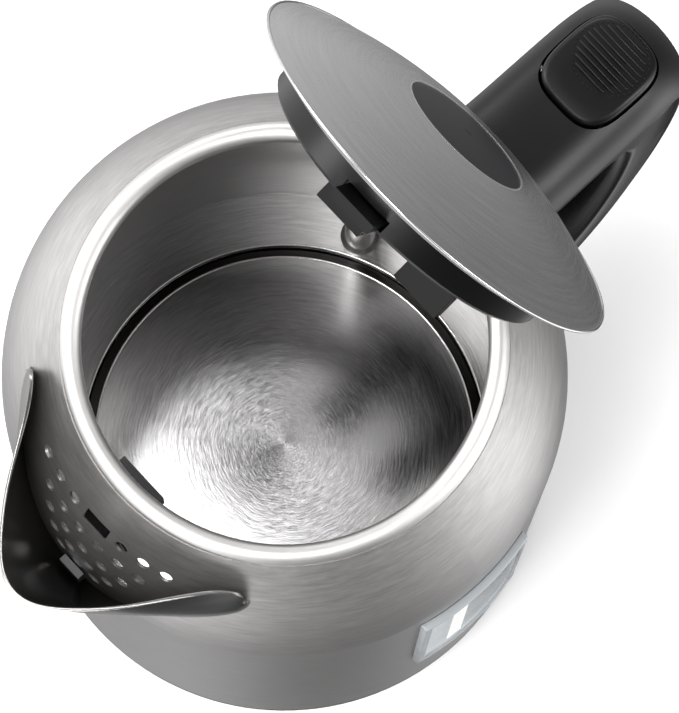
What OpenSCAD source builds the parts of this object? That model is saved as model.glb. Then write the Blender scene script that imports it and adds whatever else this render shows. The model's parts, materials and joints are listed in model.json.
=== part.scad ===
// Cordless electric kettle, 1.7 litre, with a sprung hinged lid held open at rest.
// Origin on the vessel's axis at the bottom. +Z up, spout towards -Y, handle towards +Y,
// water window towards +X. Millimetres.

/* [Vessel] */
// Outside radius of the upright wall
body_r = 75; // [74:0.5:76]
// Sheet thickness of the vessel
wall = 0.8; // [0.7:0.1:0.9]
// Height where the upright wall turns into the shoulder
shoulder_z = 160; // [158:1:161]
// Lean of the shoulder where it leaves the wall, in degrees
shoulder_lean = 3; // [2:0.5:4]
// Height of the top of the rolled rim
rim_z = 214.2; // [213.5:0.1:214.5]
// Radius of the mouth inside the rolled rim
mouth_r = 51.8; // [51.5:0.1:52]
// Radius of the rolled rim's own section
rim_bead_r = 2.75; // [2.6:0.05:2.8]

/* [Floor and base] */
// Height of the boiling floor
floor_z = 33.5; // [33:0.5:35]
// Inner radius of the ring groove in the floor
groove_r_in = 55.2; // [54.5:0.1:55.5]
// Outer radius of the ring groove in the floor
groove_r_out = 58.8; // [58.5:0.1:59.5]
// Depth of the ring groove
groove_depth = 3.5; // [3:0.25:4]
// Height of the black base ring that shows under the vessel
base_lip = 3; // [2.5:0.5:3.5]
// Radius of the round connector socket under the kettle
socket_r = 17; // [16.5:0.1:17.5]
// Depth of the connector socket
socket_depth = 13; // [12:0.5:13.5]

/* [Spout] */
// Reach of the spout's tip in front of the axis
spout_reach = 94; // [92:1:95]
// Height of the spout's tip
spout_tip_z = 209; // [208:0.5:210]
// Sheet thickness of the spout
spout_wall = 1; // [0.8:0.1:1.2]
// Diameter of the strainer holes
strain_d = 3.9; // [3.6:0.1:4]

/* [Water window] */
// Half of the window's angle round the wall, in degrees
window_half = 13.9; // [13.5:0.1:14.5]
// Height of the window's lower edge
window_z0 = 66; // [64:1:70]
// Height of the window's upper edge
window_z1 = 151; // [148:1:152]
// How far the window stands out from the wall
window_proud = 1.6; // [1.2:0.1:1.8]

/* [Handle] */
// Furthest reach of the handle behind the axis
handle_reach = 136; // [135:0.5:137]
// Height of the handle's top
handle_top_z = 187; // [186:0.5:187.5]
// Half width of the handle at its head
handle_half = 18.3; // [18:0.1:19]
// How far the side panels lie inside the outer shell
panel_inset = 1.5; // [1.2:0.1:2]

/* [Buttons] */
// Length of the lid button
button_len = 29; // [28.5:0.5:29.5]
// Half width of the lid button
button_half = 12.1; // [11.5:0.1:12.5]
// How far the lid button's front stands above the handle
button_proud = 2.6; // [2.2:0.1:3]
// Gap all round the lid button
button_gap = 0.7; // [0.6:0.1:0.9]

/* [Lid] */
// Radius of the domed lid
lid_r = 56; // [55.5:0.1:56.3]
// Rise of the dome over its edge
dome_rise = 11.9; // [11.5:0.1:12.5]
// Radius of the dark inlay on the dome
inlay_r = 18.1; // [17.5:0.1:19]
// Radius of the black inner lid
skirt_r = 42.9; // [42.5:0.1:43.2]
// Depth of the inner lid below the dome's edge
skirt_depth = 11.3; // [11:0.1:11.6]
// Angle at which the lid rests open, in degrees
lid_open = 66.2; // [64:0.2:68]
// Height of the dome's edge when the lid is closed
lid_closed_z = 215.5; // [215.2:0.1:215.8]
// Distance of the hinge pin behind the axis
hinge_y = 64.8; // [64.5:0.1:65]
// Height of the hinge pin
hinge_z = 202.5; // [202.2:0.1:202.8]
// Radius of the hinge pin
hinge_pin_r = 1.5; // [1.4:0.1:1.6]

/* [Hidden] */

fit = 0.05;                       // radial running clearance of every pin
steel = "silver";
satin_black = [0.12, 0.12, 0.12];
gloss_black = [0.05, 0.05, 0.05];

// Shoulder: one arc from the wall to the edge of the rolled rim
rim_mid_r = mouth_r + rim_bead_r;
rim_mid_z = rim_z - rim_bead_r;
shoulder_end = [rim_mid_r + rim_bead_r + 0.3, rim_mid_z + 0.15];
shoulder_chord = [body_r - shoulder_end[0], shoulder_end[1] - shoulder_z];
shoulder_end_lean = 2 * atan2(shoulder_chord[0], shoulder_chord[1]) - shoulder_lean;
shoulder_arc_r = norm(shoulder_chord) / (2 * sin((shoulder_end_lean - shoulder_lean) / 2));
shoulder_mid = [body_r - shoulder_arc_r * cos(shoulder_lean),
                shoulder_z - shoulder_arc_r * sin(shoulder_lean)];
function shoulder_point(lean, inset) =
    shoulder_mid + (shoulder_arc_r - inset) * [cos(lean), sin(lean)];
function shoulder_lean_at(z) = asin((z - shoulder_mid[1]) / shoulder_arc_r);
function shoulder_r_at(z) = shoulder_mid[0] + sqrt(pow(shoulder_arc_r, 2) - pow(z - shoulder_mid[1], 2));
shoulder_steps = 18;
function shoulder_leans() = [for (i = [0:shoulder_steps])
    shoulder_lean + (shoulder_end_lean - shoulder_lean) * i / shoulder_steps];

notch_half = 22.4;                // rear notch in the rim for the hinge bracket
notch_y = 44;
notch_z = 189.8;

// Strainer rows: height, angle of the first hole, angle between holes, holes on each side
strain_rows = [[197, 7.65, 5.95, 3], [189, 2.9, 5.6, 3], [181, 0, 5.45, 3], [173.7, 2.7, 5.15, 2],
               [166.5, 0, 4.85, 2]];
catch_slot = [8.4, 5.4];
catch_slot_z = 197;
clip_z = 157.6;

base_inner_r = body_r - wall - 0.1;
control_r = 23.8;
control_top = 26;
screw_x = 10;
screw_heights = [27, 161];
steam_at = [-30, 58];
steam_r = 4.5;
steam_top = 179;
element_r = 40;
element_bar = 3.3;

dome_r = (pow(lid_r, 2) + pow(dome_rise, 2)) / (2 * dome_rise);
dome_wall = 0.7;
inlay_depth = 1;
latch_half = 6.5;
latch_low = 10.1;                 // latch tongue, depths below the dome's edge
latch_high = 7.5;
latch_reach = 53.5;
lug_in = 6.8;                     // the two blocks behind the inner lid
lug_out = 21.8;
lug_front = 38;
lug_back = 45;
lug_low = 38;
arm_in = 9.5;
arm_out = 15.5;
knuckle_r = 5.5;
ear_in = 17;
ear_out = 21.5;

button_front = 98;
button_back = button_front + button_len;
button_pin_at = [102.5, 180.3];
button_pin_r = 1.5;
button_corner = 11;
button_spring_z = 169.1;
button_spring_y = 117;
rod_half = 4;
rod_z = [170.5, 175];
rod_y = [80.5, 121];
switch_pin_at = [92, 31];
switch_pin_r = 1.5;

// A ring of section points turned about Z
module turned(points) { rotate_extrude($fn = 128) polygon(points); }

// A piece of tube wall: radii, heights, and half angle either side of +X
module wall_piece(r0, r1, z0, z1, half) {
    rotate([0, 0, -half]) rotate_extrude(angle = 2 * half, $fn = 128)
        translate([r0, z0]) square([r1 - r0, z1 - z0]);
}

module box(x, y, z) { translate([x[0], y[0], z[0]]) cube([x[1] - x[0], y[1] - y[0], z[1] - z[0]]); }

// A rod across the kettle, along X
module cross_rod(at, r, x0, x1) {
    translate([x0, at[0], at[1]]) rotate([0, 90, 0]) cylinder(r = r, h = x1 - x0, $fn = 48);
}

module both_sides() { children(); mirror([1, 0, 0]) children(); }

// The vessel's outside as a full solid, grown by the given amount
module vessel_solid(grow = 0) {
    turned(concat([[0, 0], [body_r + grow, 0]],
                  [for (a = shoulder_leans()) shoulder_point(a, -grow)],
                  [[shoulder_end[0], rim_z], [0, rim_z]]));
}

module vessel_sheet() {
    leans = shoulder_leans();
    turned(concat([[body_r - wall, base_lip], [body_r, base_lip]],
                  [for (a = leans) shoulder_point(a, 0)],
                  [for (i = [0:shoulder_steps]) shoulder_point(leans[shoulder_steps - i], wall)]));
}

// A rounded straight-sided outline, corner radius r, across x and along y
module rounded(x, y, r) {
    translate([x[0] + r, y[0]]) square([x[1] - x[0] - 2 * r, y[1] - y[0]]);
    translate([x[0], y[0] + r]) square([x[1] - x[0], y[1] - y[0] - 2 * r]);
    for (cx = [x[0] + r, x[1] - r], cy = [y[0] + r, y[1] - r])
        translate([cx, cy]) circle(r = r, $fn = 48);
}

// Puts a piece drawn in the lid's own frame (dome edge at z = 0) in its open place
module on_lid() {
    translate([0, hinge_y, hinge_z]) rotate([-lid_open, 0, 0])
        translate([0, -hinge_y, lid_closed_z - hinge_z]) children();
}

// Repeats its children at the handle's screws, drawn along +Z and turned to run out along +Y
module handle_screw_places() {
    for (x = [-screw_x, screw_x], z = screw_heights)
        translate([x, 60, z]) rotate([-90, 0, 0]) children();
}

// ---- vessel ----
// Places its children on the shoulder, with their +Z along the sheet's outward normal
module on_shoulder(z, angle) {
    rotate([0, 0, angle]) translate([0, -shoulder_r_at(z), z])
        rotate([90 - shoulder_lean_at(z), 0, 0]) children();
}

module strainer_holes() {
    for (row = strain_rows, k = [0:row[3] - 1], side = [-1, 1]) {
        angle = row[1] + k * row[2];
        if (angle > 0 || side > 0)
            on_shoulder(row[0], side * angle) cylinder(d = strain_d, h = 6, center = true, $fn = 32);
    }
}

module body_shell() {
    color(steel) difference() {
        vessel_sheet();
        strainer_holes();
        on_shoulder(catch_slot_z, 0) cube([catch_slot[0], catch_slot[1], 6], center = true);
        box([-4, 4], [-80, -70], [clip_z - 0.4, clip_z + 2.6]);
        box([60, 80], [-13, 13], [window_z0 + 8, window_z1 - 6]);
        box([-notch_half, notch_half], [notch_y, body_r + 5], [notch_z, rim_z + 5]);
        box([-4, 4], [70, 80], [24, 33]);
        handle_screw_places() cylinder(d = 4.4, h = 30, $fn = 32);
    }
}

module rim_bead() {
    color(steel) difference() {
        rotate_extrude($fn = 128) translate([rim_mid_r, rim_mid_z]) circle(r = rim_bead_r, $fn = 48);
        vessel_sheet();
        box([-notch_half, notch_half], [notch_y, body_r], [notch_z, rim_z + 5]);
    }
}

module spout_form(inset, lift) {
    tip = spout_reach - 7 + 0.3 * inset;
    hull() {
        translate([0, 0, lift])
            multmatrix([[1, 0, 0, 0], [0, 1, 0, 0], [0, -0.1, 1, spout_tip_z - 0.1 * spout_reach]])
            linear_extrude(0.2) {
                translate([0, -tip]) circle(r = 7 - inset, $fn = 32);
                for (s = [-1, 1]) {
                    translate([s * 23, -66]) circle(r = 4 - inset, $fn = 32);
                    translate([s * 34, -52]) circle(r = 4.6 - inset, $fn = 32);
                }
            }
        translate([0, -64, 154]) sphere(r = 14.5 - inset, $fn = 32);
    }
}

module spout() {
    color(steel) difference() {
        spout_form(0, 0);
        spout_form(spout_wall, 0.6);
        vessel_solid(0);
    }
}

// ---- floor, heater and base ----
module heating_plate() {
    sheet = 0.8;
    outer = body_r - wall;
    color("lightgray") difference() {
        turned([[0, floor_z - sheet], [groove_r_in - sheet, floor_z - sheet],
                [groove_r_in - sheet, floor_z - groove_depth - sheet],
                [groove_r_out + sheet, floor_z - groove_depth - sheet],
                [groove_r_out + sheet, floor_z - sheet], [outer, floor_z - sheet],
                [outer, floor_z], [groove_r_out, floor_z],
                [groove_r_out, floor_z - groove_depth], [groove_r_in, floor_z - groove_depth],
                [groove_r_in, floor_z], [0, floor_z]]);
        translate([steam_at[0], steam_at[1], floor_z - 5]) cylinder(r = steam_r, h = 10, $fn = 48);
    }
}

module diffuser_plate() {
    color("gainsboro") translate([0, 0, floor_z - 5.3]) cylinder(r = 52, h = 4.5, $fn = 96);
}

module heating_element() {
    color("dimgray") rotate([0, 0, 120]) rotate_extrude(angle = 300, $fn = 96)
        translate([element_r, floor_z - 5.3 - element_bar]) circle(r = element_bar, $fn = 32);
}

module element_pins() {
    for (a = [63.2, 116.8]) color("gray") rotate([0, 0, a])
        translate([element_r, 0, floor_z - 19]) cylinder(r = 1.6, h = 10.5, $fn = 24);
}

module control_body() {
    color(gloss_black) difference() {
        cylinder(r = control_r, h = control_top, $fn = 96);
        translate([0, 0, -1]) cylinder(r = socket_r, h = socket_depth + 1, $fn = 96);
        translate([0, 0, socket_depth]) difference() {
            cylinder(r = 13, h = 9, $fn = 64);
            cylinder(r = 10.5, h = 9, $fn = 64);
        }
        translate([0, 0, socket_depth]) cylinder(r = 3.5, h = 9, $fn = 32);
    }
}

module contact_ring() {
    color("gold") translate([0, 0, socket_depth + 1.5]) difference() {
        cylinder(r = 12.6, h = 7.5, $fn = 64);
        translate([0, 0, -1]) cylinder(r = 11, h = 10, $fn = 64);
    }
}

module contact_pin() {
    color("gold") translate([0, 0, socket_depth + 1.5]) cylinder(r = 2, h = 7.5, $fn = 32);
}

module bimetal_disc(side) {
    color("peru") translate([side * 12, 4, control_top + 0.3]) cylinder(r = 6.5, h = 0.4, $fn = 48);
}
module bimetal_left() { bimetal_disc(-1); }
module bimetal_right() { bimetal_disc(1); }

module base_cup() {
    color(satin_black) difference() {
        turned([[control_r + 0.2, 1], [58, 1], [59, 0], [body_r - 1, 0], [body_r, 1], [body_r, base_lip],
                [base_inner_r, base_lip], [base_inner_r, 18], [base_inner_r - 1.6, 18],
                [base_inner_r - 1.6, base_lip], [control_r + 0.2, base_lip]]);
        for (a = [30, 150, 270]) rotate([0, 0, a]) translate([48, 0, -1]) cylinder(d = 3.4, h = 6, $fn = 32);
    }
}

module base_screws() {
    for (a = [30, 150, 270]) color("gray") rotate([0, 0, a]) translate([48, 0, 0]) {
        translate([0, 0, 1.2]) cylinder(d = 3.2, h = 10, $fn = 32);
        translate([0, 0, 3.2]) cylinder(d = 6, h = 1.6, $fn = 32);
    }
}

module steam_tube() {
    color(steel) translate([steam_at[0], steam_at[1], 0]) difference() {
        union() {
            translate([0, 0, floor_z - 7]) cylinder(r = steam_r - 0.02, h = steam_top - floor_z + 7, $fn = 48);
            translate([0, 0, floor_z + 0.02]) cylinder(r1 = steam_r + 1.2, r2 = steam_r, h = 2, $fn = 48);
        }
        translate([0, 0, floor_z - 8]) cylinder(r = steam_r - 0.8, h = steam_top, $fn = 48);
    }
}

module steam_switch() {
    color("ivory") difference() {
        box([steam_at[0] - 9, steam_at[0] + 9], [42, 60], [6, floor_z - 7.2]);
        translate([steam_at[0], steam_at[1], 14]) cylinder(r = steam_r - 0.8, h = 20, $fn = 32);
    }
}

// ---- water window ----
module window_lens() {
    boss = window_half - 4.4;
    color([0.8, 0.85, 0.88, 0.4]) union() {
        wall_piece(body_r + 0.05, body_r + window_proud, window_z0, window_z1, window_half);
        wall_piece(body_r - 2.4, body_r + 0.05, window_z0 + 8.3, window_z1 - 6.3, boss);
    }
}

module window_surround(r0, r1) {
    difference() {
        wall_piece(r0, r1, window_z0 + 4, window_z1 - 2.5, window_half - 1.4);
        wall_piece(r0 - 1, r1 + 1, window_z0 + 8, window_z1 - 6, window_half - 4.2);
    }
}
module window_gasket() { color("whitesmoke") window_surround(body_r - wall - 0.9, body_r - wall); }
module window_frame() { color("white") window_surround(body_r - wall - 2, body_r - wall - 0.9); }

// ---- catch at the front of the mouth ----
module lid_catch() {
    half = 7.4;
    color(gloss_black) union() {
        intersection() {
            box([-half, half], [-67, -49], [192.6, 203]);
            turned([[0, 190], [shoulder_r_at(190) - wall - 0.1, 190], [shoulder_r_at(198) - wall - 0.25, 198],
                    [shoulder_r_at(205) - wall - 0.4, 205], [0, 205]]);
        }
        box([-half, half], [-58, -55.8], [202.5, 207.4]);
        on_shoulder(catch_slot_z, 0) translate([0, 0, -2.2])
            cube([catch_slot[0] - 0.6, catch_slot[1] - 0.6, 3.8], center = true);
    }
}

module catch_clip() {
    color("gray") union() {
        box([-3.6, 3.6], [-77.2, -72], [clip_z, clip_z + 1.2]);
        box([-3.6, 3.6], [-77.2, -75.15], [clip_z, clip_z + 8]);
        box([-3.6, 3.6], [-73.5, -72.2], [clip_z, clip_z + 4]);
    }
}

// ---- handle ----
// Outer side outline, from the top of the head round the back to the foot
function ellipse(mid, rx, ry, a0, a1, steps) = [for (i = [0:steps])
    let (a = a0 + (a1 - a0) * i / steps) mid + [rx * cos(a), ry * sin(a)]];
handle_back = concat([[50, notch_z - 0.05], [74, notch_z - 0.05], [92, handle_top_z], [110, handle_top_z - 0.5]],
    ellipse([114, 166], handle_reach - 114, handle_top_z - 0.5 - 166, 82, 0, 10),
    ellipse([86, 150], handle_reach - 86, 128, -5, -82, 20), [[60, 20]]);
// Side outline of the inset panel, the given gap smaller than the recess it lies in
function handle_inset(gap) = concat([[60, 172 - gap], [81, 171 - gap], [90, 169 - gap], [112, 169 - gap]],
    ellipse([116, 162], handle_reach - 8 - 116 - gap, 7 - gap, 75, 0, 6),
    ellipse([84, 150], handle_reach - 8 - 84 - gap, 120 - gap, -5, -80, 16), [[60, 27 + gap]]);
grip_gap = concat([[60, 152], [92, 152]],
    ellipse([94, 132], 17, 20, 85, 0, 10), ellipse([84, 132], 27, 75, -5, -85, 12), [[60, 57]]);

module side_plate(points, half) {
    translate([-half, 0, 0]) rotate([90, 0, 90]) linear_extrude(2 * half) polygon(points);
}

// Outline from above: straight head, then drawn in to a rounded back
module handle_plan(inset) {
    half = handle_half - inset;
    linear_extrude(300) polygon(concat([[-half, 40], [half, 40], [half, 92]],
        [for (i = [1:31]) let (a = 180 * i / 32)
            [half * sign(cos(a)) * pow(abs(cos(a)), 0.62), 96 + (handle_reach - inset - 96) * pow(sin(a), 0.8)]],
        [[-half, 92]]));
}

// Outline from the front: upright sides, with the top rounded down to them
module handle_front() {
    rise = notch_z - 156;
    translate([0, 150, 0]) rotate([90, 0, 0]) linear_extrude(110) polygon(concat(
        [[-handle_half - 1, 0], [handle_half + 1, 0]],
        [for (i = [0:32]) let (a = 180 * i / 32)
            [(handle_half + 1) * sign(cos(a)) * pow(abs(cos(a)), 0.6), 156 + rise * pow(sin(a), 0.72)]]));
}

module button_outline(gap) {
    rounded([-button_half - gap, button_half + gap], [button_front - gap, button_back + gap],
            button_corner + gap);
}

module handle_blank(inset) {
    intersection() {
        side_plate(handle_back, handle_half + 2);
        handle_plan(inset);
        handle_front();
    }
}

module handle_shell() {
    color(satin_black) difference() {
        handle_blank(0);
        side_plate(handle_inset(0), handle_half + 2);
        vessel_solid(0.1);
        translate([0, 0, 168]) linear_extrude(30) button_outline(button_gap);
        rod_slot();
        cross_rod(button_pin_at, button_pin_r, -15, 15);
        cross_rod(switch_pin_at, switch_pin_r, -15, 15);
        switch_slot();
        handle_screw_places() cylinder(d = 3.5, h = 26, $fn = 32);
    }
}

module handle_panel() {
    color(gloss_black) difference() {
        intersection() {
            handle_plan(panel_inset);
            side_plate(handle_inset(0.05), handle_half);
        }
        side_plate(grip_gap, handle_half + 2);
        vessel_solid(0.1);
        rod_slot();
        switch_slot();
        cross_rod(switch_pin_at, switch_pin_r, -15, 15);
        handle_screw_places() cylinder(d = 3.5, h = 26, $fn = 32);
    }
}

// Room for the release rod under the button
module rod_slot() {
    box([-rod_half - 0.6, rod_half + 0.6], [rod_y[0] - 4, rod_y[1] + 1], [rod_z[0] - 0.6, rod_z[1] + 0.6]);
}

// Room for the switch lever inside the foot, open at the back and to the vessel
module switch_slot() {
    box([-9.8, 9.8], [84, 130], [25, 37]);
    box([-3.6, 3.6], [70, 90], [24.5, 33]);
}

module handle_bracket() {
    color("gray") difference() {
        intersection() {
            union() {
                box([-16, 16], [60, body_r], [154, 168]);
                box([-16, 16], [60, body_r], [20.5, 32]);
            }
            difference() {
                vessel_solid(-wall - 0.05);
                vessel_solid(-wall - 1.6);
            }
        }
        box([-4.4, 4.4], [60, body_r], [23.5, 40]);
        handle_screw_places() cylinder(d = 4.4, h = 30, $fn = 32);
    }
}

module handle_screws() {
    color("silver") handle_screw_places() {
        translate([0, 0, 10]) cylinder(d = 3.5, h = 16, $fn = 32);
        translate([0, 0, 9.2]) cylinder(d = 7, h = 2, $fn = 32);
    }
}

// ---- hinge ----
module hinge_bracket() {
    pin = [hinge_y, hinge_z];
    color(satin_black) difference() {
        union() {
            box([-ear_out, ear_out], [57.4, 72], [notch_z + 0.05, 195.4]);
            both_sides() {
                box([ear_in, ear_out], [hinge_y - 6, hinge_y + 6], [194, hinge_z]);
                cross_rod(pin, 6, ear_in, ear_out);
            }
        }
        cross_rod(pin, hinge_pin_r, -40, 40);
    }
}

module hinge_pin() { color("silver") cross_rod([hinge_y, hinge_z], hinge_pin_r, -ear_out + 0.5, ear_out - 0.5); }

module torsion_spring() {
    coil_r = 3.1;
    wire = 0.5;
    color("lightgray") union() {
        for (x = [-6:1.35:5]) translate([x, hinge_y, hinge_z]) rotate([0, 90, 0])
            rotate_extrude($fn = 48) translate([coil_r, 0]) circle(r = wire, $fn = 24);
        cross_rod([hinge_y + coil_r, hinge_z], 0.35, -6, 4.8);
        box([-6.35, -5.65], [hinge_y + coil_r - 0.35, hinge_y + coil_r + 0.3], [195.45, hinge_z]);
    }
}

// ---- lid button, its rod and springs ----
module release_button() {
    color(gloss_black) difference() {
        union() {
            intersection() {
                translate([0, 0, 178.6]) linear_extrude(20) button_outline(0);
                side_plate([[90, 178.6], [90, handle_top_z - 1.2 + button_proud],
                            [112, handle_top_z - 1.6 + button_proud], [122, handle_top_z - 2.6 + button_proud],
                            [131, handle_top_z - 5 + button_proud], [131, 178.6]], 20);
            }
            box([-4, 4], [118, 121.5], [175.4, 179]);
        }
        cross_rod(button_pin_at, button_pin_r + fit, -20, 20);
    }
}
module button_pin() { color("silver") cross_rod(button_pin_at, button_pin_r, -14.5, 14.5); }

module spring_rings(r, wire, z0, z1, turns) {
    pitch = (z1 - z0 - 2 * wire) / turns;
    for (i = [0:turns]) translate([0, 0, z0 + wire + i * pitch])
        rotate_extrude($fn = 32) translate([r, 0]) circle(r = wire, $fn = 16);
    translate([r, 0, z0 + wire]) cylinder(r = wire * 0.8, h = z1 - z0 - 2 * wire, $fn = 16);
}
module button_spring() {
    color("lightgray") translate([7.6, button_spring_y, 0]) spring_rings(2, 0.3, button_spring_z, 178.5, 6);
}

module release_rod() {
    color("whitesmoke") union() {
        box([-rod_half, rod_half], [rod_y[0], 117.5], [rod_z[0], rod_z[1]]);
        box([-rod_half, rod_half], rod_y, [rod_z[0], rod_z[1] - 2]);
    }
}

// ---- switch at the handle's foot ----
module power_switch() {
    color(gloss_black) difference() {
        union() {
            cross_rod(switch_pin_at, 4, -9, 9);
            box([-9, 9], [92, 119], [29, 33]);
            box([-2.8, 2.8], [68, 92], [26, 28.7]);
        }
        cross_rod(switch_pin_at, switch_pin_r + fit, -20, 20);
    }
}
module switch_pin() { color("silver") cross_rod(switch_pin_at, switch_pin_r, -14.5, 14.5); }
module indicator_lens() { color("red") box([-4, 4], [112, 117.5], [33.02, 33.6]); }

// ---- lid, drawn with the dome's edge at z = 0 ----
module dome_zone(r, low) {
    translate([0, 0, dome_rise - dome_r]) intersection() {
        sphere(r = r, $fn = 300);
        translate([0, 0, dome_r - dome_rise + low]) cylinder(r = lid_r, h = dome_rise + 5, $fn = 128);
    }
}

module lid_dome() {
    color(steel) on_lid() difference() {
        dome_zone(dome_r, 0);
        dome_zone(dome_r - dome_wall, -5);
        translate([0, 0, dome_rise - inlay_depth - 1.5]) cylinder(r = inlay_r + 0.6, h = 5, $fn = 96);
    }
}

module lid_inlay() {
    color(gloss_black) on_lid() intersection() {
        dome_zone(dome_r - 0.25, -5);
        translate([0, 0, dome_rise - inlay_depth - 1.4]) cylinder(r = inlay_r, h = 5, $fn = 96);
    }
}

module inlay_ring() {
    color(steel) on_lid() intersection() {
        dome_zone(dome_r, -5);
        translate([0, 0, dome_rise - inlay_depth - 1.4]) difference() {
            cylinder(r = inlay_r + 0.55, h = 5, $fn = 96);
            translate([0, 0, -1]) cylinder(r = inlay_r + 0.05, h = 8, $fn = 96);
        }
    }
}

module lid_skirt() {
    sheet = 2;
    color(gloss_black) on_lid() difference() {
        union() {
            turned([[skirt_r - sheet, -skirt_depth], [skirt_r - 0.8, -skirt_depth], [skirt_r, 0.8 - skirt_depth],
                    [skirt_r + 0.6, 2.4], [skirt_r + 8, -0.2], [skirt_r + 8, 0.9], [skirt_r + 0.6, 3.9],
                    [0, 3.9], [0, 2.4], [skirt_r - sheet, 2.4]]);
            for (x = [-15, 15])
                translate([x, 0, 0.9 - skirt_depth]) cylinder(d = 7, h = skirt_depth + 2, $fn = 32);
        }
        box([-latch_half - 0.8, latch_half + 0.8], [-60, -30], [-latch_low - 0.4, -latch_high + 0.4]);
        for (x = [-15, 15]) translate([x, 0, -skirt_depth]) cylinder(d = 3, h = 9, $fn = 32);
    }
}

// The inner lid's outside as a full solid
module skirt_solid() {
    turned([[0, -skirt_depth], [skirt_r - 0.8, -skirt_depth], [skirt_r, 0.8 - skirt_depth],
            [skirt_r + 0.6, 2.4], [0, 2.4]]);
}

module lid_plate() {
    color(steel) on_lid() difference() {
        translate([0, 0, -skirt_depth]) cylinder(r = skirt_r - 2, h = 0.8, $fn = 96);
        for (x = [-15, 15]) translate([x, 0, -15]) cylinder(d = 3.2, h = 8, $fn = 32);
    }
}

module lid_seal() {
    color("dimgray") on_lid() turned([[skirt_r + 1.2, -1.6], [skirt_r + 7.6, -2.2],
                                      [skirt_r + 7.6, -0.4], [skirt_r + 1.2, 1.4]]);
}

module lid_arms() {
    pin = [hinge_y, hinge_z - lid_closed_z];
    color(gloss_black) on_lid() difference() {
        union() {
            box([-lug_out, lug_out], [lug_front, lug_front + 2.5], [-skirt_depth - 2.5, -skirt_depth]);
            both_sides() {
                box([lug_in, lug_out], [lug_front, lug_back], [-lug_low, -skirt_depth]);
                box([arm_in, arm_out], [lug_back - 1, hinge_y], [pin[1] - 3, -6.5]);
                cross_rod(pin, knuckle_r, arm_in, arm_out);
            }
        }
        skirt_solid();
        cross_rod(pin, hinge_pin_r + fit, -40, 40);
    }
}

module lid_screws() {
    for (x = [-15, 15]) color("silver") on_lid() translate([x, 0, 0]) {
        translate([0, 0, -skirt_depth - 1.2]) cylinder(d = 6, h = 1.2, $fn = 32);
        translate([0, 0, -skirt_depth - 0.2]) cylinder(d = 3, h = 8, $fn = 32);
    }
}

module spring_leg() {
    color("lightgray") on_lid() union() {
        cross_rod([hinge_y - 3.1, hinge_z - lid_closed_z], 0.5, 6, arm_in);
        box([6, 6.75], [lug_front + 2.6, hinge_y - 2.6],
            [hinge_z - lid_closed_z - 0.5, hinge_z - lid_closed_z + 0.5]);
    }
}

module latch_guide() {
    color(satin_black) on_lid() difference() {
        box([-latch_half - 2.4, latch_half + 2.4], [-skirt_r + 4, -20], [-skirt_depth + 0.85, -4]);
        box([-latch_half - 0.4, latch_half + 0.4], [-60, -22.5], [-latch_low - 0.4, -latch_high + 0.4]);
    }
}

module lid_latch() {
    color(gloss_black) on_lid() difference() {
        box([-latch_half, latch_half], [-latch_reach, -31], [-latch_low, -latch_high]);
        translate([-10, -latch_reach, -latch_low]) rotate([-35, 0, 0]) translate([0, -6, -6]) cube([20, 6, 6]);
    }
}

module latch_spring() {
    color("lightgray") on_lid() translate([0, -22.8, -(latch_low + latch_high) / 2]) rotate([90, 0, 0])
        spring_rings(0.85, 0.2, 0, 3.8, 6);
}

body_shell();
rim_bead();
spout();
heating_plate();
diffuser_plate();
heating_element();
element_pins();
control_body();
contact_ring();
contact_pin();
bimetal_left();
bimetal_right();
base_cup();
base_screws();
window_lens();
window_gasket();
window_frame();
lid_catch();
catch_clip();
steam_tube();
steam_switch();
handle_shell();
handle_panel();
handle_bracket();
handle_screws();
hinge_bracket();
hinge_pin();
torsion_spring();
button_pin();
button_spring();
switch_pin();
indicator_lens();
lid_dome();
lid_inlay();
inlay_ring();
lid_skirt();
lid_plate();
lid_seal();
lid_arms();
lid_screws();
spring_leg();
latch_guide();
latch_spring();
lid_latch();
release_button();
release_rod();
power_switch();
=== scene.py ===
"""An electric kettle with its lid sprung open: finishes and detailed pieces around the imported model."""

import json
from math import atan2, cos, pi, radians, sin, sqrt

import bmesh
import bpy
from mathutils import Matrix, Vector


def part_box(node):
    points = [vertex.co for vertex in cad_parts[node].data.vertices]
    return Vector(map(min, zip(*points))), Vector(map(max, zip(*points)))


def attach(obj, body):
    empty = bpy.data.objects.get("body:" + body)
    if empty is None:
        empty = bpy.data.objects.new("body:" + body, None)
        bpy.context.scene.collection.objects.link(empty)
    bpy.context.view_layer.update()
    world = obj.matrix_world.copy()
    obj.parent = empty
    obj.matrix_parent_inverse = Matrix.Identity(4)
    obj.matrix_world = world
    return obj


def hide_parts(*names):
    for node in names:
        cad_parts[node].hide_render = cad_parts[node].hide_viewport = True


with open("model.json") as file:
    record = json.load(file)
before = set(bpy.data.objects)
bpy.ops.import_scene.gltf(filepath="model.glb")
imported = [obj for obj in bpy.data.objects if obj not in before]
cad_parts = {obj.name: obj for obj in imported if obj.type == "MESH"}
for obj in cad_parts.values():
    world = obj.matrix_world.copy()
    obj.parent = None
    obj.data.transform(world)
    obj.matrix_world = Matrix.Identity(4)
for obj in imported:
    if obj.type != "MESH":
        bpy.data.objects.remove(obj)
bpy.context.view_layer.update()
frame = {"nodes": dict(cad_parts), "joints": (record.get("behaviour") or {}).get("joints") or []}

MM = 0.001
nodes = frame["nodes"]
scene = bpy.context.scene
scene.view_settings.view_transform = "Standard"


# ---------------------------------------------------------------- places on the object

def middle(node):
    low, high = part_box(node)
    return (low + high) / 2


rim_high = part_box("rim_bead")[1]
floor_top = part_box("heating_plate")[1].z
body_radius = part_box("body_shell")[1].x
hinge = middle("hinge_pin")
lid_joint = next(j for j in frame["joints"] if j["name"] == "lid_hinge")
lid_opening = radians(lid_joint["range_deg"][1])
LID_CLOSED = 215.5 * MM          # height of the dome's edge with the lid shut


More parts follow.
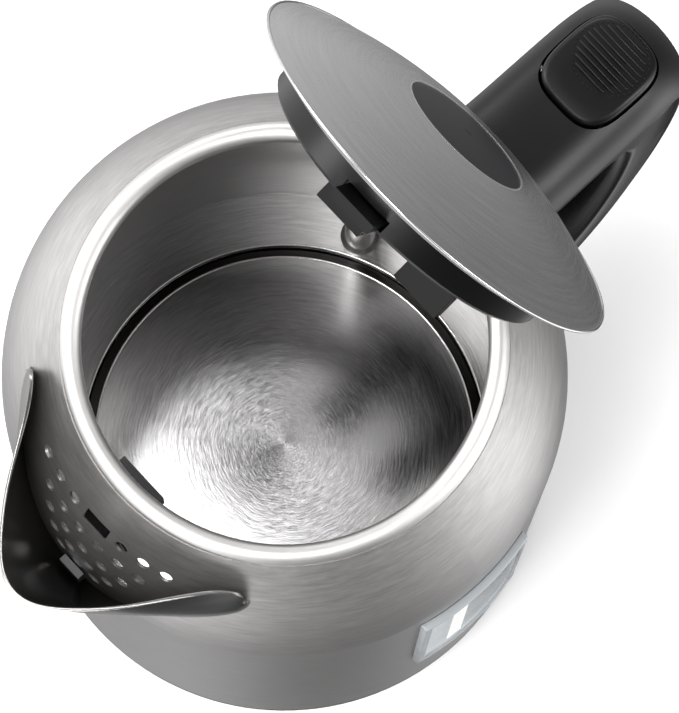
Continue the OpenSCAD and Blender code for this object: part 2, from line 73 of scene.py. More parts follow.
def lid_matrix():
    """From the lid's own frame, dome edge at z = 0 and axis upright, to its open place."""
    return (Matrix.Translation(hinge) @ Matrix.Rotation(-lid_opening, 4, "X")
            @ Matrix.Translation((0, -hinge.y, LID_CLOSED - hinge.z)))


# ---------------------------------------------------------------- camera, floor and light

VIEW_RIGHT = Vector((0.68196, 0.73129, 0.01188))
VIEW_UP = Vector((-0.72294, 0.67154, 0.16248))
VIEW_BACK = VIEW_RIGHT.cross(VIEW_UP)

camera_data = bpy.data.cameras.new("camera")
camera_data.lens = 240.84
camera_data.sensor_width = 36
camera = bpy.data.objects.new("camera", camera_data)
camera.matrix_world = Matrix.Translation((0.14650, -0.13709, 1.40735)) @ Matrix(
    (VIEW_RIGHT, VIEW_UP, VIEW_BACK)).transposed().to_4x4()
scene.collection.objects.link(camera)
scene.camera = camera


def deselect():
    bpy.ops.object.select_all(action="DESELECT")


def softbox(name, right, up, height, size, power, aim=(0, 0, 0.12)):
    """A plain area light, placed along the camera's level right and up and turned to the kettle."""
    light = bpy.data.lights.new(name, "AREA")
    light.shape = "RECTANGLE"
    light.size, light.size_y = size
    light.energy = power
    lamp = bpy.data.objects.new(name, light)
    across = Vector((VIEW_RIGHT.x, VIEW_RIGHT.y, 0)).normalized()
    along = Vector((-across.y, across.x, 0))
    lamp.location = across * right + along * up + Vector((0, 0, height))
    turn = (Vector(aim) - lamp.location).to_track_quat("-Z", "Y")
    lamp.rotation_euler = turn.to_euler()
    scene.collection.objects.link(lamp)
    return lamp


softbox("overhead_softbox", -0.115, 0.12, 1.55, (0.17, 0.19), 0.9)
softbox("spout_softbox", -0.35, -0.33, 1.2, (0.4, 0.4), 9)
softbox("left_softbox", -1.1, 0.35, 1.1, (0.6, 1.0), 9)
softbox("right_softbox", 1.1, -0.3, 0.9, (0.35, 0.9), 6)
softbox("back_softbox", 0.1, 1.3, 0.9, (1.2, 0.4), 5)


# ---------------------------------------------------------------- finishes

def colour(code):
    """sRGB hex to linear RGBA."""
    channels = [int(code[i:i + 2], 16) / 255 for i in (1, 3, 5)]
    return tuple(c / 12.92 if c <= 0.04045 else ((c + 0.055) / 1.055) ** 2.4 for c in channels) + (1,)


def add(tree, kind, links=None, **settings):
    """One node, with its settings and what goes into its sockets: a value or another node's output."""
    node = tree.nodes.new("ShaderNode" + kind)
    for key, value in settings.items():
        setattr(node, key, value)
    for socket, source in (links or {}).items():
        if isinstance(source, bpy.types.NodeSocket):
            tree.links.new(source, node.inputs[socket])
        else:
            node.inputs[socket].default_value = source
    return node


def finish(name, **constants):
    """A new material with one Principled shader, its constant values set on its own sockets."""
    material = bpy.data.materials.new(name)
    material.use_nodes = True
    shader = material.node_tree.nodes["Principled BSDF"]
    for socket, value in constants.items():
        shader.inputs[socket.replace("_", " ")].default_value = value
    return material, material.node_tree, shader


def around_axis(tree, lid=False):
    """Object coordinates as seen from the axis a turned piece was spun and brushed about.
    Returns the direction away from the axis, the radius, the height, and the brushing's direction."""
    point = add(tree, "TexCoord").outputs["Object"]
    if lid:
        turn = Matrix.Rotation(lid_opening, 3, "X")
        shift = Vector((0, hinge.y, hinge.z - LID_CLOSED)) - turn @ hinge
        point = add(tree, "Mapping", {"Vector": point, "Location": shift,
                                      "Rotation": (lid_opening, 0, 0)}).outputs[0]
    flat = add(tree, "VectorMath", {0: point, 1: (1, 1, 0)}, operation="MULTIPLY").outputs[0]
    away = add(tree, "VectorMath", {0: flat}, operation="NORMALIZE").outputs[0]
    radius = add(tree, "VectorMath", {0: flat}, operation="LENGTH").outputs["Value"]
    height = add(tree, "SeparateXYZ", {0: point}).outputs["Z"]
    round_it = add(tree, "VectorMath", {0: (0, 0, 1), 1: away}, operation="CROSS_PRODUCT").outputs[0]
    if lid:
        round_it = add(tree, "Mapping", {"Vector": round_it, "Rotation": (-lid_opening, 0, 0)},
                       vector_type="VECTOR").outputs[0]
    round_it = add(tree, "VectorTransform", {0: round_it}, vector_type="VECTOR",
                   convert_from="OBJECT", convert_to="WORLD").outputs[0]
    return away, radius, height, round_it


def brushed_steel(name, tint, dark, roughness, grit_mm, stroke, depth, anisotropy, lid=False, swirl=0.0,
                  mirror=1.0, groove=None):
    """Stainless sheet brushed round its axis: fine lines that catch the light across the brushing."""
    material, tree, shader = finish(name, Metallic=mirror, Anisotropic=anisotropy)
    away, radius, height, round_it = around_axis(tree, lid)
    run = add(tree, "Math", {0: radius, 1: height}, operation="ADD").outputs[0]
    fine = add(tree, "Math", {0: run, 1: 1 / (grit_mm * MM)}, operation="MULTIPLY").outputs[0]
    lines = add(tree, "CombineXYZ", {"Z": fine}).outputs[0]
    if swirl:
        # hand-worked swirls drift in and out along each stroke
        wander = add(tree, "TexNoise", {"Vector": add(tree, "VectorMath", {0: away, "Scale": 5.0},
                     operation="SCALE").outputs[0], "Scale": 1.0, "Detail": 1.0})
        drift = add(tree, "Math", {0: wander.outputs[0], 1: swirl / grit_mm}, operation="MULTIPLY").outputs[0]
        lines = add(tree, "CombineXYZ", {"Z": add(tree, "Math", {0: fine, 1: drift},
                    operation="ADD").outputs[0]}).outputs[0]
    place = add(tree, "VectorMath", {0: away, 1: (stroke, stroke, 0), 2: lines},
                operation="MULTIPLY_ADD").outputs[0]
    scratches = add(tree, "TexNoise", {"Vector": place, "Scale": 1.0, "Detail": 3.0, "Roughness": 0.7})
    cloud = add(tree, "TexNoise", {"Vector": add(tree, "TexCoord").outputs["Object"], "Scale": 22.0,
                                "Detail": 2.0})
    mix = add(tree, "Mix", {"Factor": scratches.outputs["Fac"], 6: colour(dark), 7: colour(tint)},
              data_type="RGBA")
    tone = mix.outputs[2]
    if groove:
        # painted shade: the pressed groove's ring is darkened as if shade falls in it
        inner, outer = groove
        inside = add(tree, "Math", {0: radius, 1: inner * MM}, operation="GREATER_THAN").outputs[0]
        within = add(tree, "Math", {0: radius, 1: outer * MM}, operation="LESS_THAN").outputs[0]
        groove_shade = add(tree, "Math", {0: inside, 1: within}, operation="MULTIPLY").outputs[0]
        tone = add(tree, "Mix", {"Factor": groove_shade, 6: tone, 7: colour("#2c2b2b")}, data_type="RGBA").outputs[2]
    tree.links.new(tone, shader.inputs["Base Color"])
    both = add(tree, "Math", {0: scratches.outputs["Fac"], 1: 0.12, 2: roughness - 0.1},
               operation="MULTIPLY_ADD").outputs[0]
    both = add(tree, "Math", {0: cloud.outputs["Fac"], 1: 0.08, 2: both},
               operation="MULTIPLY_ADD").outputs[0]
    tree.links.new(both, shader.inputs["Roughness"])
    bump = add(tree, "Bump", {"Height": scratches.outputs["Fac"], "Distance": depth * MM,
                              "Strength": 0.6})
    tree.links.new(bump.outputs[0], shader.inputs["Normal"])
    tree.links.new(round_it, shader.inputs["Tangent"])
    return material


def moulded(name, code, roughness, grain_mm, depth, gloss_change=0.08, **constants):
    """Moulded plastic or rubber: one even colour, with the mould's fine spark grain in the gloss."""
    material, tree, shader = finish(name, IOR=1.5, **constants)
    point = add(tree, "TexCoord").outputs["Object"]
    grain = add(tree, "TexNoise", {"Vector": point, "Scale": 1 / (grain_mm * MM), "Detail": 2.0})
    wear = add(tree, "TexNoise", {"Vector": point, "Scale": 35.0, "Detail": 4.0})
    lighter = tuple(min(1, c * 1.5 + 0.001) for c in colour(code)[:3]) + (1,)
    tone = add(tree, "Mix", {"Factor": wear.outputs["Fac"], 6: colour(code), 7: lighter},
               data_type="RGBA").outputs[2]
    tree.links.new(tone, shader.inputs["Base Color"])
    rough = add(tree, "Math", {0: wear.outputs["Fac"], 1: gloss_change, 2: roughness - gloss_change / 2},
                operation="MULTIPLY_ADD").outputs[0]
    tree.links.new(rough, shader.inputs["Roughness"])
    bump = add(tree, "Bump", {"Height": grain.outputs["Fac"], "Distance": depth * MM, "Strength": 0.5})
    tree.links.new(bump.outputs[0], shader.inputs["Normal"])
    return material


def plain_metal(name, code, roughness):
    """Drawn or plated metal with faint handling marks."""
    material, tree, shader = finish(name, Metallic=1.0)
    point = add(tree, "TexCoord").outputs["Object"]
    marks = add(tree, "TexNoise", {"Vector": point, "Scale": 260.0, "Detail": 3.0})
    darker = tuple(c * 0.75 for c in colour(code)[:3]) + (1,)
    tone = add(tree, "Mix", {"Factor": marks.outputs["Fac"], 6: colour(code), 7: darker},
               data_type="RGBA").outputs[2]
    tree.links.new(tone, shader.inputs["Base Color"])
    rough = add(tree, "Math", {0: marks.outputs["Fac"], 1: 0.16, 2: roughness - 0.08},
                operation="MULTIPLY_ADD").outputs[0]
    tree.links.new(rough, shader.inputs["Roughness"])
    return material


# 18/10 stainless, brushed on a lathe: satin with lines round the pot
# the deep brushing scatters part of the light every way
pot_steel = brushed_steel("brushed_stainless_pot", "#d2d0ce", "#8f8d8b", 0.4, 0.45, 7.0, 0.02, 0.55,
                          mirror=0.88)
# the rolled rim is polished brighter than the sheet it is rolled from
rim_steel = brushed_steel("satin_stainless_rim", "#e6e4e2", "#c9c7c5", 0.46, 0.5, 5.0, 0.006, 0.0)
# the floor is worked with a rotating pad, which leaves long swirls
# its pressed groove between these two radii gets a ring of painted shade
floor_steel = brushed_steel("swirled_stainless_floor", "#c9c8c8", "#7f7e80", 0.12, 0.5, 6.0, 0.011, 0.5,
                            swirl=2.0, groove=(55.3, 58.7))
# the pressed lid is blasted after brushing, so it is the softest of the three
dome_steel = brushed_steel("satin_stainless_lid", "#dcdbda", "#c4c3c2", 0.28, 0.6, 2.0, 0.004, 0.5, lid=True)
plate_steel = brushed_steel("brushed_stainless_lid_plate", "#c8c7c5", "#a09f9d", 0.3, 0.5, 3.0, 0.01, 0.5,
                            lid=True)
edge_steel = plain_metal("polished_stainless_edge", "#e8e6e4", 0.16)
spout_steel = brushed_steel("polished_stainless_spout", "#bdbbb9", "#8d8b89", 0.2, 0.5, 4.0, 0.006, 0.3)
# polypropylene from a spark-eroded mould: fine grain, satin
satin_black = moulded("satin_black_polypropylene", "#0a0a0b", 0.38, 0.35, 0.03, Specular_IOR_Level=0.4)
# ABS from a polished mould
button_black = moulded("satin_black_abs_button", "#050506", 0.34, 0.4, 0.012, Specular_IOR_Level=0.35)
arm_black = moulded("matt_black_nylon_arms", "#050505", 0.5, 0.5, 0.02, Specular_IOR_Level=0.15)
gloss_black = moulded("polished_black_abs", "#040405", 0.26, 0.8, 0.004, Specular_IOR_Level=0.3)
side_black = moulded("polished_black_abs_panel", "#060606", 0.2, 0.8, 0.004, Specular_IOR_Level=0.35)
inlay_black = moulded("satin_black_abs_inlay", "#111113", 0.4, 0.3, 0.01, Specular_IOR_Level=0.4)
base_black = moulded("matt_black_polypropylene", "#161616", 0.6, 0.5, 0.05)
socket_black = moulded("black_glass_filled_nylon", "#121212", 0.5, 0.4, 0.03)
grey_nylon = moulded("grey_nylon", "#5c5c5e", 0.45, 0.4, 0.02)
seal_grey = moulded("grey_silicone", "#6a6a6a", 0.5, 0.4, 0.02)
white_nylon = moulded("natural_white_nylon", "#e6e4dc", 0.45, 0.5, 0.02)
red_lens = moulded("red_polycarbonate", "#a01810", 0.12, 1.0, 0.002, Transmission_Weight=0.4)
# clear copolyester, slightly cloudy where it was gated
window_clear = moulded("clear_copolyester", "#cfd4d6", 0.14, 1.5, 0.004, Transmission_Weight=0.35)
bezel_plastic = moulded("satin_copolyester_frame", "#8f9395", 0.22, 0.8, 0.004)
plated = plain_metal("zinc_plated_steel", "#c8c8ca", 0.25)
spring_steel = plain_metal("drawn_spring_steel", "#d8d8da", 0.2)
aluminium = plain_metal("mill_finish_aluminium", "#c9cacc", 0.4)
sheath = plain_metal("oxidised_element_sheath", "#4c4a48", 0.5)
contact_brass = plain_metal("contact_brass", "#c9a250", 0.3)

FINISHES = {
    pot_steel: ["body_shell", "steam_tube"],
    rim_steel: ["rim_bead", "inlay_ring"],
    floor_steel: ["heating_plate"],
    dome_steel: ["lid_dome"],
    plate_steel: ["lid_plate"],
    spout_steel: ["spout"],
    satin_black: ["handle_shell", "hinge_bracket", "latch_guide", "release_button", "power_switch"],
    side_black: ["handle_panel"],
    gloss_black: ["lid_skirt", "lid_catch"],
    arm_black: ["lid_arms", "lid_latch"],
    inlay_black: ["lid_inlay"],
    base_black: ["base_cup"],
    socket_black: ["control_body"],
    grey_nylon: ["catch_clip"],
    seal_grey: ["window_gasket", "lid_seal"],
    white_nylon: ["window_frame", "release_rod", "steam_switch"],
    red_lens: ["indicator_lens"],
    window_clear: ["window_lens"],
    plated: ["base_screws", "handle_screws", "handle_bracket", "hinge_pin", "button_pin", "switch_pin",
             "lid_screws"],
    spring_steel: ["torsion_spring", "spring_leg", "latch_spring", "button_spring"],
    aluminium: ["diffuser_plate"],
    sheath: ["heating_element", "element_pins"],
    contact_brass: ["contact_ring", "contact_pin", "bimetal_left", "bimetal_right"],
}
for material, names in FINISHES.items():
    for name in names:
        nodes[name].data.materials.clear()
        nodes[name].data.materials.append(material)


# ---------------------------------------------------------------- shaping tools

SHOULDER_START = 160 * MM        # where the upright wall turns in
SHOULDER_LEAN = 3                # its slope there, in degrees


def wall_radius(z):
    """Outside radius of the vessel at a height: upright, then one arc in to the rolled rim."""
    start, lean = SHOULDER_START, radians(SHOULDER_LEAN)
    if z <= start:
        return body_radius
    end_r = rim_high.x + 0.3 * MM
    across, up = body_radius - end_r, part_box("body_shell")[1].z - start
    end_lean = 2 * atan2(across, up) - lean
    arc = sqrt(across ** 2 + up ** 2) / (2 * sin((end_lean - lean) / 2))
    mid_r, mid_z = body_radius - arc * cos(lean), start - arc * sin(lean)
    return mid_r + sqrt(arc ** 2 - (z - mid_z) ** 2)


def on_wall(x, z, side, gap):
    """The point of the vessel's outside at that x and height, on the spout's or the handle's side."""
    return Vector((x, side * sqrt((wall_radius(z) + gap) ** 2 - x * x), z))


def into_edit(piece):
    deselect()
    bpy.context.view_layer.objects.active = piece
    piece.select_set(True)
    bpy.ops.object.mode_set(mode="EDIT")


def out_of_edit():
    bpy.ops.object.mode_set(mode="OBJECT")
    return bpy.context.object


def place_selected(piece, old, new):
    """Moves each selected corner from its place in one outline to its place in the next."""
    mesh = bmesh.from_edit_mesh(piece.data)
    for corner in [v for v in mesh.verts if v.select]:
        nearest = min(range(len(old)), key=lambda i: (old[i] - corner.co).length_squared)
        corner.co = new[nearest]
    bmesh.update_edit_mesh(piece.data)


def lofted(name, outlines):
    """A solid through a row of closed outlines: a filled circle extruded from one to the next."""
    deselect()
    bpy.ops.mesh.primitive_circle_add(vertices=len(outlines[0]), radius=1, fill_type="NGON")
    piece = bpy.context.object
    piece.name = name
    into_edit(piece)
    bpy.ops.mesh.select_all(action="SELECT")
    circle = [v.co.copy() for v in bmesh.from_edit_mesh(piece.data).verts]
    place_selected(piece, circle, outlines[0])
    for before, after in zip(outlines, outlines[1:]):
        bpy.ops.mesh.extrude_region_move()
        place_selected(piece, before, after)
    bpy.ops.mesh.select_all(action="SELECT")
    bpy.ops.mesh.normals_make_consistent(inside=False)
    return out_of_edit()


def modify(piece, kind, **settings):
    """Adds a modifier and applies it."""
    deselect()
    bpy.context.view_layer.objects.active = piece
    piece.select_set(True)
    modifier = piece.modifiers.new(kind.lower(), kind)
    for key, value in settings.items():
        setattr(modifier, key, value)
    bpy.ops.object.modifier_apply(modifier=modifier.name)
    return piece


def cut(piece, cutter):
    """Takes one solid out of another, and the cutter with it."""
    modify(piece, "BOOLEAN", operation="DIFFERENCE", solver="EXACT", object=cutter)
    bpy.data.objects.remove(cutter)
    return piece


def set_in_place(piece, body, material, replaced=(), smooth=40):
    """Bakes the place into the mesh, smooths it, and gives the piece its finish and its body."""
    deselect()
    bpy.context.view_layer.objects.active = piece
    piece.select_set(True)
    bpy.ops.object.transform_apply(location=True, rotation=True, scale=True)
    bpy.ops.object.shade_smooth_by_angle(angle=radians(smooth))
    piece.data.materials.clear()
    piece.data.materials.append(material)
    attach(piece, body)
    if replaced:
        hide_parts(*replaced)
    return piece


def join(name, parts):
    """Makes one object of several, under a new name."""
    deselect()
    for part in parts:
        part.select_set(True)
    bpy.context.view_layer.objects.active = parts[0]
    bpy.ops.object.join()
    parts[0].name = name
    return parts[0]


def power(value, exponent):
    """A power that keeps its value's sign, for outlines between an ellipse and a box."""
    return (1 if value >= 0 else -1) * abs(value) ** exponent


def quarter_turns(mid, reach, rise, start, end, steps):
    """Points (y, z) in mm along part of an ellipse, from one angle to another."""
    return [(mid[0] + reach * cos(radians(start + (end - start) * i / steps)),
             mid[1] + rise * sin(radians(start + (end - start) * i / steps))) for i in range(steps + 1)]


# ---------------------------------------------------------------- handle

handle_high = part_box("handle_shell")[1]
handle_half = handle_high.x / MM
REACH = handle_high.y / MM
# matching stations on three outlines of the side view: the outside, the recess, and the finger gap
outside = ([(74, 189.7), (78, 189.3), (84, 188.4), (90, 187.6), (98, 187.0), (106, 186.8), (112, 186.4)]
           + quarter_turns((114, 166), REACH - 114, 20.5, 80, 0, 12)
           + quarter_turns((86, 150), REACH - 86, 128, -6, -82, 22) + [(84, 21.2), (78, 20.7)])
recess = ([(75, 171.6), (78, 171.2), (83, 170.2), (88, 169.3), (96, 169), (104, 169), (110, 169)]
          + quarter_turns((116, 162), REACH - 123.4, 7, 100, 0, 12)
          + quarter_turns((84, 150), REACH - 91.4, 121, -6, -80, 22) + [(84, 29.2), (78, 27.8)])
finger_gap = ([(75, 152), (77, 152), (80, 152), (83, 152), (86, 152), (88, 152), (90, 152)]
              + quarter_turns((94, 132), 17, 20, 100, 12, 12)
              + quarter_turns((84, 132), 27, 75, 2, -85, 22) + [(84, 57.2), (78, 57)])


def across_section(inner, outer, half, shoulder, side_points, squareness=0.5, lift=0.75):
    """A closed outline across the handle: flat at inner, upright sides, rounded over at outer."""
    loop = []
    for i in range(side_points + 1):
        angle = pi * i / side_points
        loop.append((half * power(cos(angle), squareness), shoulder + (1 - shoulder) * sin(angle) ** lift))
    loop += [(-half, 0.5 * shoulder), (-half + 0.25, 0.03), (-half + 0.6, 0), (-0.5 * half, 0), (0, 0),
             (0.5 * half, 0), (half - 0.6, 0), (half - 0.25, 0.03), (half, 0.5 * shoulder)]
    (iy, iz), (oy, oz) = inner, outer
    return [Vector((x, iy + (oy - iy) * v, iz + (oz - iz) * v)) * MM for x, v in loop]


WALL_GAP = 0.12 * MM             # between the handle's mouldings and the vessel


def against_vessel(loop):
    """The same outline, laid on the vessel's wall."""
    return [on_wall(p.x, p.z, 1, WALL_GAP) for p in loop]


strap_loops = []
for i, (inner, outer) in enumerate(zip(recess, outside)):
    along = i / (len(outside) - 1)
    # boxy with rounded shoulders over the vessel, then round in plan where it turns down at the back
    turned = min(1.0, max(0.0, (i - 4) / 10))
    strap_loops.append(across_section(inner, outer, handle_half - 2.6 * along, 0.2 - 0.18 * turned, 30,
                                      0.56 + 0.44 * turned, 0.76 + 0.24 * turned))
strap = lofted("handle_cover", [against_vessel(strap_loops[0])] + strap_loops[1:]
               + [against_vessel(strap_loops[-1])])
button_low, button_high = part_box("release_button")
BUTTON_MID = (button_low.y + button_high.y) / 2
BUTTON_SQUARENESS = 0.62         # 1 is an ellipse, 0 a box


def button_loop(gap, z):
    """The button's rounded outline from above; z is one height, or a function of y that gives it."""
    half_x, half_y = button_high.x + gap, (button_high.y - button_low.y) / 2 + gap
    loop = []
    for i in range(72):
        angle = 2 * pi * i / 72
        x = half_x * power(cos(angle), BUTTON_SQUARENESS)
        y = BUTTON_MID + half_y * power(sin(angle), BUTTON_SQUARENESS)
        loop.append(Vector((x, y, z(y) if callable(z) else z)))
    return loop


def switch_room():
    """The space in the handle's foot where the foot switch turns, open at the back."""
    deselect()
    bpy.ops.mesh.primitive_cube_add(size=1, location=(0, 107 * MM, 31 * MM),
                                    scale=(19.6 * MM, 46 * MM, 12 * MM))
    return bpy.context.object


def lever_room():
    """The narrower way from there through to the vessel, for the switch's lever."""
    deselect()
    bpy.ops.mesh.primitive_cube_add(size=1, location=(0, 79 * MM, 28.7 * MM),
                                    scale=(7.2 * MM, 24 * MM, 8.4 * MM))
    return bpy.context.object


cut(strap, switch_room())
cut(strap, lever_room())
BUTTON_GAP = 0.7 * MM
cut(strap, lofted("button_hole", [button_loop(BUTTON_GAP, 172 * MM), button_loop(BUTTON_GAP, 205 * MM)]))
set_in_place(strap, "kettle", satin_black, ["handle_shell"], smooth=32)

PANEL_INSET = 1.3
panel_half = handle_half - PANEL_INSET
panel_loops = [across_section(inner, outer, panel_half, 0.78, 18, 0.4, 0.9)
               for inner, outer in zip(recess, finger_gap)]
panel = lofted("handle_side_panel", [against_vessel(panel_loops[0])] + panel_loops[1:]
               + [against_vessel(panel_loops[-1])])
cut(panel, switch_room())
cut(panel, lever_room())
set_in_place(panel, "kettle", side_black, ["handle_panel"], smooth=32)


# ---------------------------------------------------------------- lid button

def button_top(y):
    """Height of the button's face: level in front, dipping towards the back."""
    back = max(0.0, (y - 110 * MM) / (17 * MM))
    return button_high.z - 2.6 * MM * back ** 1.6


rounding = [(0.0, -9.4), (0.0, -1.5), (-0.15, -0.9), (-0.45, -0.4), (-0.9, -0.1), (-1.5, 0.0), (-5.0, 0.12)]
button = lofted("lid_button", [button_loop(inward * MM, (lambda y, d=down: button_top(y) + d * MM))
                               for inward, down in rounding])
grip_mid = Vector((0, 116.5 * MM, 0))
ribs = []
for i in range(10):
    y = (108.8 + 1.7 * i) * MM
    reach = sqrt((9.4 * MM) ** 2 - (y - grip_mid.y) ** 2) if abs(y - grip_mid.y) < 9.2 * MM else 3 * MM
    deselect()
    bpy.ops.mesh.primitive_cube_add(size=1, location=(0, y, button_top(y) + 0.12 * MM),
                                    scale=(2 * reach, 0.75 * MM, 0.5 * MM))
    rib = bpy.context.object
    bpy.ops.object.transform_apply(location=True, scale=True)
    ribs.append(modify(rib, "BEVEL", width=0.24 * MM, segments=2))
for i in range(44):
    angle = 2 * pi * i / 44
    x, y = 10.3 * MM * cos(angle), grip_mid.y + 10.0 * MM * sin(angle)
    deselect()
    bpy.ops.mesh.primitive_ico_sphere_add(subdivisions=1, radius=0.26 * MM,
                                          location=(x, y, button_top(y) + 0.1 * MM))
    bpy.ops.object.transform_apply(location=True)
    ribs.append(bpy.context.object)
grip = join("button_grip", ribs)
set_in_place(button, "button", button_black, ["release_button"], smooth=50)
set_in_place(grip, "button", button_black, smooth=50)


# ---------------------------------------------------------------- spout

# half of the lip and of the welded foot, from the wing's end to the tip:
# x, y, z of the lip, then x, z of the foot
SPOUT_RAILS = [((40.6, -51.6, 201.2), (41.6, 197.6)), ((40.5, -51.6, 204.2), (41.9, 195.6)),
               ((39.4, -52.2, 206.8), (41.6, 193.2)), ((37.2, -54.0, 208.2), (40.4, 190.4)),
               ((34.0, -57.4, 208.8), (37.4, 186.6)), ((30.6, -62.4, 209.0), (33.0, 181.6)),
               ((27.0, -68.2, 209.0), (28.4, 176.4)), ((23.4, -74.0, 209.0), (24.0, 171.0)),
               ((19.2, -79.8, 209.1), (19.0, 165.0)), ((14.4, -85.4, 209.2), (13.6, 158.0)),
               ((9.4, -90.4, 209.3), (8.8, 151.5)), ((4.6, -93.4, 209.4), (4.2, 147.0)),
               ((0.0, -94.2, 209.4), (0.0, 145.5))]
rails = SPOUT_RAILS + [((-lip[0], lip[1], lip[2]), (-foot[0], foot[1])) for lip, foot in SPOUT_RAILS[-2::-1]]
ROWS = 15
deselect()
bpy.ops.mesh.primitive_grid_add(x_subdivisions=len(rails) - 1, y_subdivisions=ROWS - 1, size=2)
spout = bpy.context.object
spout.name = "pouring_spout"
for corner in spout.data.vertices:
    step = round((corner.co.x + 1) / 2 * (len(rails) - 1))
    height = (corner.co.y + 1) / 2
    lip, foot = rails[step]
    low = on_wall(foot[0] * MM, foot[1] * MM, -1, -0.2 * MM)
    high = Vector(lip) * MM
    belly = 2.2 * MM * sin(pi * height) * (1 - abs(step / (len(rails) - 1) * 2 - 1) ** 2)
    corner.co = low.lerp(high, height) + Vector((0, -belly, -belly * 0.3))
modify(spout, "SUBSURF", levels=2, render_levels=2)
modify(spout, "SOLIDIFY", thickness=0.9 * MM, offset=1)
modify(spout, "BEVEL", width=0.28 * MM, segments=2, angle_limit=radians(50))
into_edit(spout)
bpy.ops.mesh.select_all(action="SELECT")
bpy.ops.mesh.normals_make_consistent(inside=False)
out_of_edit()
set_in_place(spout, "kettle", spout_steel, ["spout"], smooth=50)


# ---------------------------------------------------------------- lid edge and water marks

deselect()
bpy.ops.mesh.primitive_torus_add(major_radius=55.55 * MM, minor_radius=0.42 * MM, major_segments=160,
                                 minor_segments=12, location=(0, 0, 0.12 * MM))
edge = bpy.context.object
edge.name = "lid_rolled_edge"
edge.matrix_world = lid_matrix() @ edge.matrix_world
set_in_place(edge, "lid", edge_steel)

edges = []
for radius in (55.15, 58.85):
    deselect()
    bpy.ops.mesh.primitive_torus_add(major_radius=radius * MM, minor_radius=0.4 * MM, major_segments=160,
                                     minor_segments=12, location=(0, 0, floor_top - 0.22 * MM))
    edges.append(bpy.context.object)
set_in_place(join("floor_groove_edges", edges), "kettle", edge_steel)

MARK_WIDTH = 5 * MM
marks = []
window_low, window_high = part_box("window_lens")
for i in range(12):
    height = window_low.z + (14 + 5.2 * i) * MM
    deselect()
    bpy.ops.mesh.primitive_cube_add(size=1, scale=(0.3 * MM, MARK_WIDTH, 0.5 * MM),
                                    location=(window_high.x + 0.03 * MM, -9 * MM + MARK_WIDTH / 2, height))
    mark = bpy.context.object
    bpy.ops.object.transform_apply(location=True, scale=True)
    marks.append(modify(mark, "BEVEL", width=0.1 * MM, segments=1))


def block(low, high):
    """A box between two corners in mm, to be shaped or to cut with."""
    deselect()
    low, high = Vector(low) * MM, Vector(high) * MM
    bpy.ops.mesh.primitive_cube_add(size=1, location=(low + high) / 2, scale=high - low)
    return bpy.context.object


def drum(radius):
    """A long upright cylinder on the vessel's axis, to cut with."""
    deselect()
    bpy.ops.mesh.primitive_cylinder_add(vertices=360, radius=radius * MM, depth=200 * MM,
                                        location=(0, 0, 108 * MM))
    return bpy.context.object


# the raised frame round the window follows the wall
bottom, top = window_low.z / MM, window_high.z / MM
bezel = block((70, -18.6, bottom - 0.4), (80, 18.6, top + 0.4))
cut(bezel, block((60, -16.4, bottom + 1.8), (90, 16.4, top - 1.8)))
outer_drum = drum(77.25)
modify(bezel, "BOOLEAN", operation="INTERSECT", solver="EXACT", object=outer_drum)
bpy.data.objects.remove(outer_drum)
cut(bezel, drum(75.02))
modify(bezel, "BEVEL", width=0.4 * MM, segments=3, angle_limit=radians(50))
bezel.name = "window_bezel"
set_in_place(bezel, "kettle", bezel_plastic, smooth=50)
scale_marks = join("water_level_marks", marks)
for corner in scale_marks.data.vertices:
    corner.co.x -= body_radius - sqrt(body_radius ** 2 - corner.co.y ** 2)
set_in_place(scale_marks, "kettle", white_nylon)


# ---------------------------------------------------------------- floor and surroundings

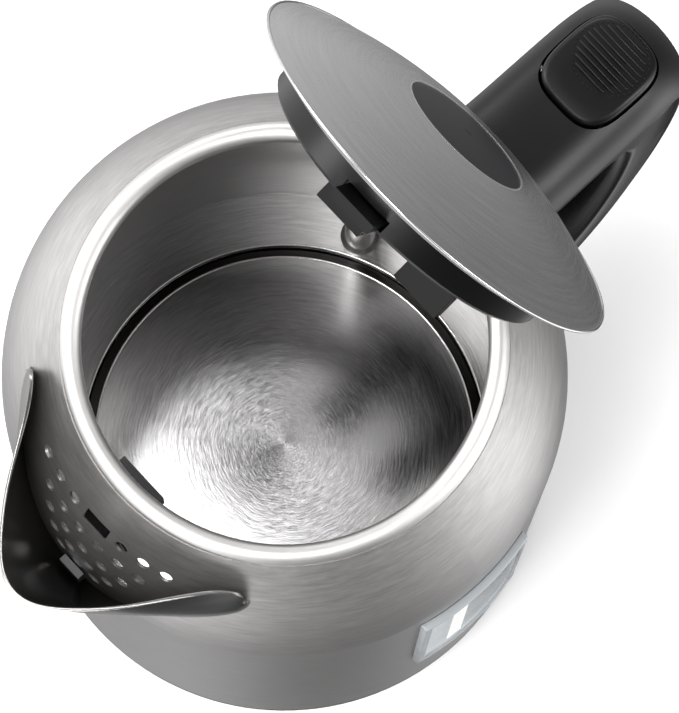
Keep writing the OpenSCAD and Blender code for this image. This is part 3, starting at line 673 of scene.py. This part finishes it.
deselect()
bpy.ops.mesh.primitive_plane_add(size=8, location=(0, 0, 0))
table = bpy.context.object
table.name = "table"
paper, paper_tree, paper_shader = finish("white_paper", Roughness=0.9)
fibre = add(paper_tree, "TexNoise", {"Vector": add(paper_tree, "TexCoord").outputs["Object"], "Scale": 40.0})
paper_tone = add(paper_tree, "Mix", {"Factor": fibre.outputs["Fac"], 6: colour("#fbfbfb"),
                                     7: colour("#ffffff")}, data_type="RGBA")
paper_tree.links.new(paper_tone.outputs[2], paper_shader.inputs["Base Color"])
table.data.materials.append(paper)

# the steel is lit by the studio round the table and not by the paper itself
table.visible_glossy = False

world = bpy.data.worlds.new("studio")
scene.world = world
world.use_nodes = True
studio = world.node_tree
background = studio.nodes["Background"]
facing = add(studio, "TexCoord").outputs["Generated"]
level = add(studio, "VectorMath", {0: facing, 1: (1, 1, 0)}, operation="MULTIPLY").outputs[0]
level = add(studio, "VectorMath", {0: level}, operation="NORMALIZE").outputs[0]
steepness = add(studio, "SeparateXYZ", {0: facing}).outputs["Z"]


def studio_panel(turn, sharpness, gain):
    """A soft bright side of the studio, at an angle from the camera's level right."""
    side = (Vector((VIEW_RIGHT.x, VIEW_RIGHT.y, 0)).normalized() * cos(radians(turn))
            + Vector((-VIEW_RIGHT.y, VIEW_RIGHT.x, 0)).normalized() * sin(radians(turn)))
    toward = add(studio, "VectorMath", {0: level, 1: side}, operation="DOT_PRODUCT").outputs["Value"]
    toward = add(studio, "Math", {0: toward, 1: 0.0}, operation="MAXIMUM").outputs[0]
    toward = add(studio, "Math", {0: toward, 1: sharpness}, operation="POWER").outputs[0]
    return add(studio, "Math", {0: toward, 1: gain}, operation="MULTIPLY").outputs[0]


def between(low, high, start, end):
    """Runs smoothly from start to end as the direction rises from low to high."""
    return add(studio, "MapRange", {0: steepness, 1: low, 2: high, 3: start, 4: end},
               interpolation_type="SMOOTHSTEP").outputs[0]


glow = add(studio, "Value").outputs[0]
glow.default_value = 0.2
for turn, sharpness, gain in ((152, 5, 1.55), (86, 6, 0.6), (-18, 16, 2.2), (-128, 11, 1.9)):
    glow = add(studio, "Math", {0: glow, 1: studio_panel(turn, sharpness, gain)}, operation="ADD").outputs[0]
for profile in (between(0.8, 0.985, 1, 0.25), between(-0.98, -0.6, 0.26, 1)):
    glow = add(studio, "Math", {0: glow, 1: profile}, operation="MULTIPLY").outputs[0]
studio.links.new(glow, background.inputs["Strength"])
background.inputs["Color"].default_value = colour("#fdfdff")
